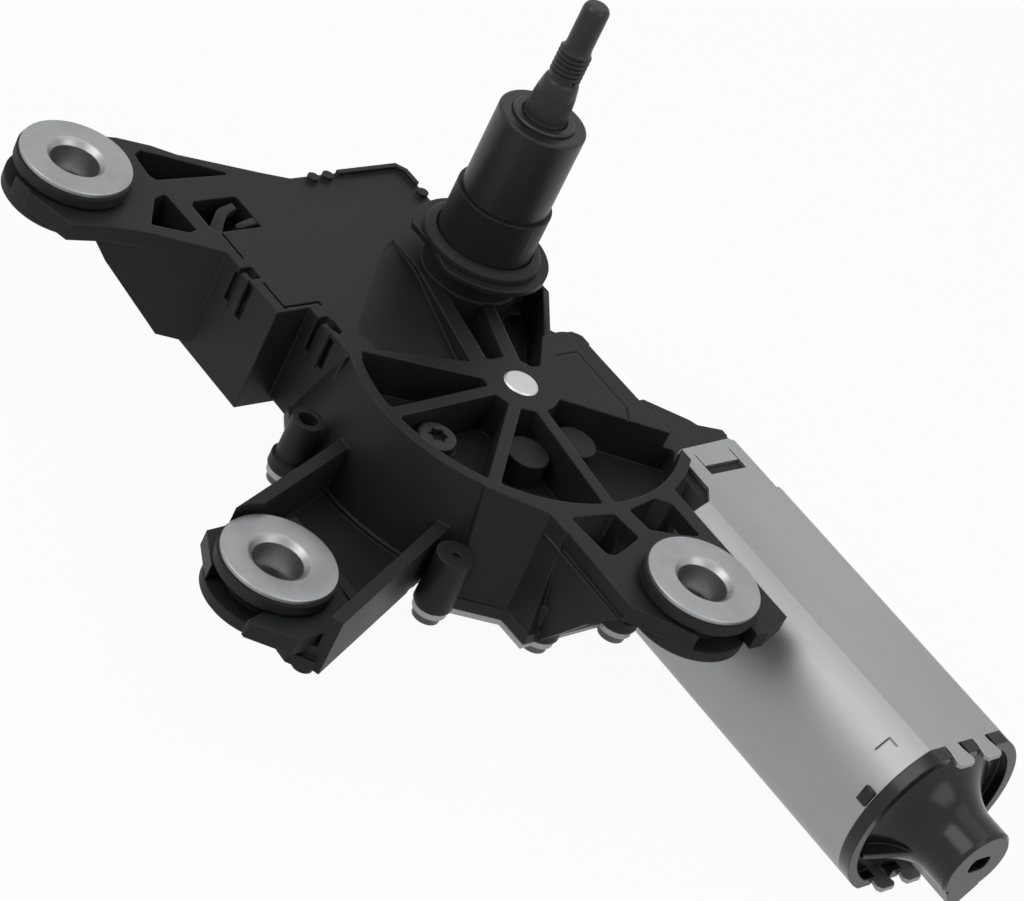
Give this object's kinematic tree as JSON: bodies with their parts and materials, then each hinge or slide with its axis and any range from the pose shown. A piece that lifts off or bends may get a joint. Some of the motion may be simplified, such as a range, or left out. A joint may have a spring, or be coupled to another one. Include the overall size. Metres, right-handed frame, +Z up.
{
  "type": "wiper motor",
  "caption": "Rear wiper motor with a black gear housing, three rubber-mounted ears, a tall threaded output spindle and a flat-sided steel motor tube.",
  "frame": {"origin": "on the output spindle's axis, level with the top of the housing's deck", "axes": "+Z up along the output spindle towards its threaded tip, +X along the motor's axis from the gears towards the end cap"},
  "size_m": [0.2479, 0.1609, 0.124],
  "materials": {
    "black_plastic": "matt, glass filled",
    "zinc_steel": "zinc plated, satin",
    "bright_steel": "bright",
    "dark_steel": "phosphated",
    "sintered_bronze": "porous, oiled",
    "rubber": "matt",
    "gear_plastic": "moulded",
    "copper": "bare or enamelled",
    "ferrite": "pressed, matt",
    "board_green": "varnished"
  },
  "bodies": {
    "housing": {"back_cover": "zinc_steel", "bearing_tube": "sintered_bronze", "bearing_washer": "dark_steel", "brush_holder": "black_plastic", "brush_springs": "dark_steel", "brushes": "ferrite", "bush_base_front": "dark_steel", "bush_base_left": "dark_steel", "bush_base_right": "dark_steel", "chokes": "ferrite", "circuit_board": "board_green", "collar_seal": "rubber", "connector_pins": "copper", "connector_shell": "black_plastic", "cover_gasket": "rubber", "cover_screws": "dark_steel", "end_cap": "black_plastic", "floor_screw": "dark_steel", "front_bearing": "sintered_bronze", "gear_bearing": "sintered_bronze", "gear_housing": "black_plastic", "grommet_front": "rubber", "grommet_left": "rubber", "grommet_right": "rubber", "magnets": "ferrite", "motor_tube": "zinc_steel", "park_contacts": "copper", "rear_bearing": "sintered_bronze", "spindle_sleeve": "black_plastic", "steel_bush_front": "bright_steel", "steel_bush_left": "bright_steel", "steel_bush_right": "bright_steel", "thrust_plugs": "bright_steel", "wheel_clip": "dark_steel", "wheel_pin": "bright_steel", "wheel_washer": "dark_steel"},
    "armature": {"armature_shaft": "bright_steel", "laminations": "dark_steel", "windings": "copper", "commutator": "copper"},
    "wheel": {"worm_wheel": "gear_plastic", "crank_pin": "bright_steel"},
    "spindle": {"output_spindle": "bright_steel", "pinion": "dark_steel", "spindle_circlip": "dark_steel", "spindle_seal_ring": "rubber", "link_clip": "dark_steel"},
    "link": {"link_plate": "dark_steel", "link_rivet": "bright_steel"},
    "rod": {"toothed_rod": "dark_steel"}
  },
  "joints": [
    {"name": "armature_spin", "type": "hinge", "parent": "housing", "child": "armature", "pos_m": [0.1, 0.0258, -0.024], "axis": [1, 0, 0], "continuous": true},
    {"name": "wheel_spin", "type": "hinge", "parent": "housing", "child": "wheel", "pos_m": [0.0385, -0.0131, -0.023], "axis": [0, 0, 1], "continuous": true},
    {"name": "spindle_swing", "type": "hinge", "parent": "housing", "child": "spindle", "pos_m": [0, 0, 0], "axis": [0, 0, 1], "range_deg": [-95, 42]},
    {"name": "link_swing", "type": "hinge", "parent": "housing", "child": "link", "pos_m": [0, 0, -0.034], "axis": [0, 0, 1], "range_deg": [-33.6, 15]},
    {"name": "rod_turn", "type": "hinge", "parent": "link", "child": "rod", "pos_m": [-0.00642, -0.01894, -0.032], "axis": [0, 0, 1], "range_deg": [-15, 33.6]}
  ],
  "couplings": [
    {"joint": "wheel_spin", "follows": "armature_spin", "ratio": 0.016667},
    {"joint": "link_swing", "follows": "spindle_swing", "ratio": 0.35},
    {"joint": "rod_turn", "follows": "spindle_swing", "ratio": -0.35}
  ]
}
